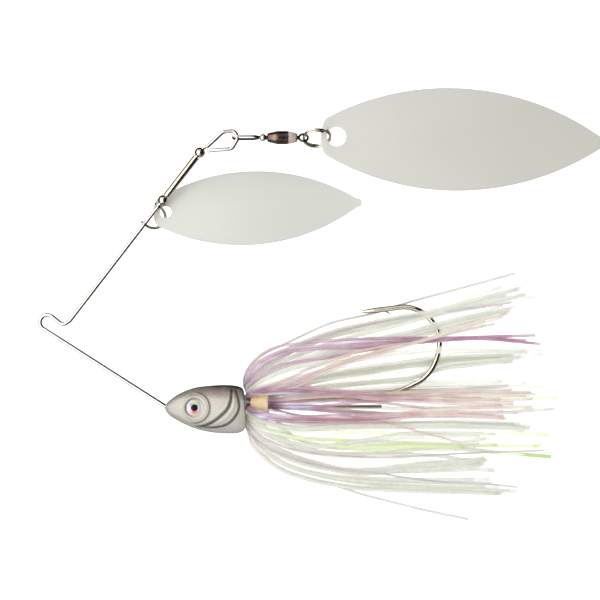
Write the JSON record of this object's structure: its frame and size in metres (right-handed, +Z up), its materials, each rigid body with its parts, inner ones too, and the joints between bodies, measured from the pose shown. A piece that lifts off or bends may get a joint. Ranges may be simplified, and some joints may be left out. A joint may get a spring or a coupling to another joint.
{
  "type": "spinnerbait",
  "caption": "Safety-pin wire lure with a painted fish head, silicone skirt and single hook, a clevis blade on the upper arm and a swivel blade at its end.",
  "frame": {"origin": "centre of the bounding box at the level of the table the lure lies on", "axes": "+X from the head to the tail of the skirt and blades, +Y from the skirt to the blades, +Z up from the table, square to the plane of the bent wire"},
  "size_m": [0.1382, 0.1052, 0.0107],
  "materials": {
    "stainless_wire": "polished stainless spring wire",
    "nickel": "bright nickel plate",
    "black_nickel": "dark nickel plate",
    "hook_steel": "bright tinned high-carbon wire",
    "pearl_paint": "satin pearl white powder paint on steel",
    "head_paint": "gloss silver-grey paint, darker along the back, on lead alloy",
    "eye_foil": "clear dome over holographic foil with a black pupil",
    "collar_rubber": "matt amber rubber",
    "purple_silicone": "translucent purple silicone with fine sparkle",
    "white_silicone": "translucent white silicone",
    "peach_silicone": "translucent peach silicone",
    "lime_silicone": "translucent white silicone with yellow-green tips"
  },
  "bodies": {
    "frame": {"wire_frame": "stainless_wire", "lead_head": "head_paint", "left_eye": "eye_foil", "right_eye": "eye_foil", "hook": "hook_steel", "skirt_collar": "collar_rubber", "tuft_top_arch": "purple_silicone", "tuft_top_white_a": "white_silicone", "tuft_top_white_b": "white_silicone", "tuft_top_peach": "peach_silicone", "tuft_upper_white_a": "white_silicone", "tuft_upper_white_b": "white_silicone", "tuft_upper_lilac": "purple_silicone", "tuft_middle_purple_a": "purple_silicone", "tuft_middle_white_a": "white_silicone", "tuft_middle_white_b": "white_silicone", "tuft_middle_lime": "lime_silicone", "tuft_middle_purple_b": "purple_silicone", "tuft_middle_purple_c": "purple_silicone", "tuft_lower_white_a": "white_silicone", "tuft_lower_lime_a": "lime_silicone", "tuft_lower_lime_b": "lime_silicone", "tuft_lower_white_b": "white_silicone", "tuft_lower_white_c": "white_silicone", "tuft_lower_white_d": "white_silicone", "tuft_bottom_white": "white_silicone", "tuft_stray": "purple_silicone"},
    "spacer": {"spacer_tube": "nickel"},
    "lower_bead": {"lower_bead": "nickel"},
    "upper_bead": {"upper_bead": "nickel"},
    "clevis": {"clevis": "nickel"},
    "front_blade": {"front_blade": "pearl_paint"},
    "swivel_front": {"swivel_front_eye": "stainless_wire"},
    "swivel_barrel": {"swivel_barrel": "black_nickel"},
    "swivel_rear": {"swivel_rear_eye": "black_nickel"},
    "split_ring": {"split_ring": "stainless_wire"},
    "rear_blade": {"rear_blade": "pearl_paint"}
  },
  "joints": [
    {"name": "stack_slide", "type": "slide", "parent": "frame", "child": "spacer", "axis": [-0.6111, -0.7915, 0], "range_m": [0, 0.027]},
    {"name": "lower_bead_spin", "type": "hinge", "parent": "spacer", "child": "lower_bead", "pos_m": [-0.03902, 0.0254, 0.0042], "axis": [0.6111, 0.7915, 0], "continuous": true},
    {"name": "upper_bead_spin", "type": "hinge", "parent": "spacer", "child": "upper_bead", "pos_m": [-0.0301, 0.03695, 0.0042], "axis": [0.6111, 0.7915, 0], "continuous": true},
    {"name": "clevis_spin", "type": "hinge", "parent": "spacer", "child": "clevis", "pos_m": [-0.0418, 0.0218, 0.0042], "axis": [0.6111, 0.7915, 0], "continuous": true},
    {"name": "front_blade_swing", "type": "hinge", "parent": "clevis", "child": "front_blade", "pos_m": [-0.03883, 0.02257, 0.00232], "axis": [-0.3071, 0.6843, 0.6613], "range_deg": [-30, 50]},
    {"name": "swivel_lift", "type": "hinge", "parent": "frame", "child": "swivel_front", "pos_m": [-0.02108, 0.0406, 0.0042], "axis": [0, 1, 0], "range_deg": [-120, 120]},
    {"name": "barrel_spin", "type": "hinge", "parent": "swivel_front", "child": "swivel_barrel", "pos_m": [-0.01011, 0.0406, 0.00377], "axis": [0.9993, 0, -0.0384], "continuous": true},
    {"name": "rear_eye_spin", "type": "hinge", "parent": "swivel_barrel", "child": "swivel_rear", "pos_m": [-0.00651, 0.0406, 0.00363], "axis": [0.9993, 0, -0.0384], "continuous": true},
    {"name": "ring_swing", "type": "hinge", "parent": "swivel_rear", "child": "split_ring", "pos_m": [-0.00388, 0.0406, 0.00353], "axis": [-0.0226, 0.809, -0.5874], "range_deg": [-50, 50]},
    {"name": "rear_blade_swing", "type": "hinge", "parent": "split_ring", "child": "rear_blade", "pos_m": [0.00152, 0.0406, 0.00332], "axis": [0.0311, 0.5878, 0.8084], "range_deg": [-44, 75]}
  ]
}
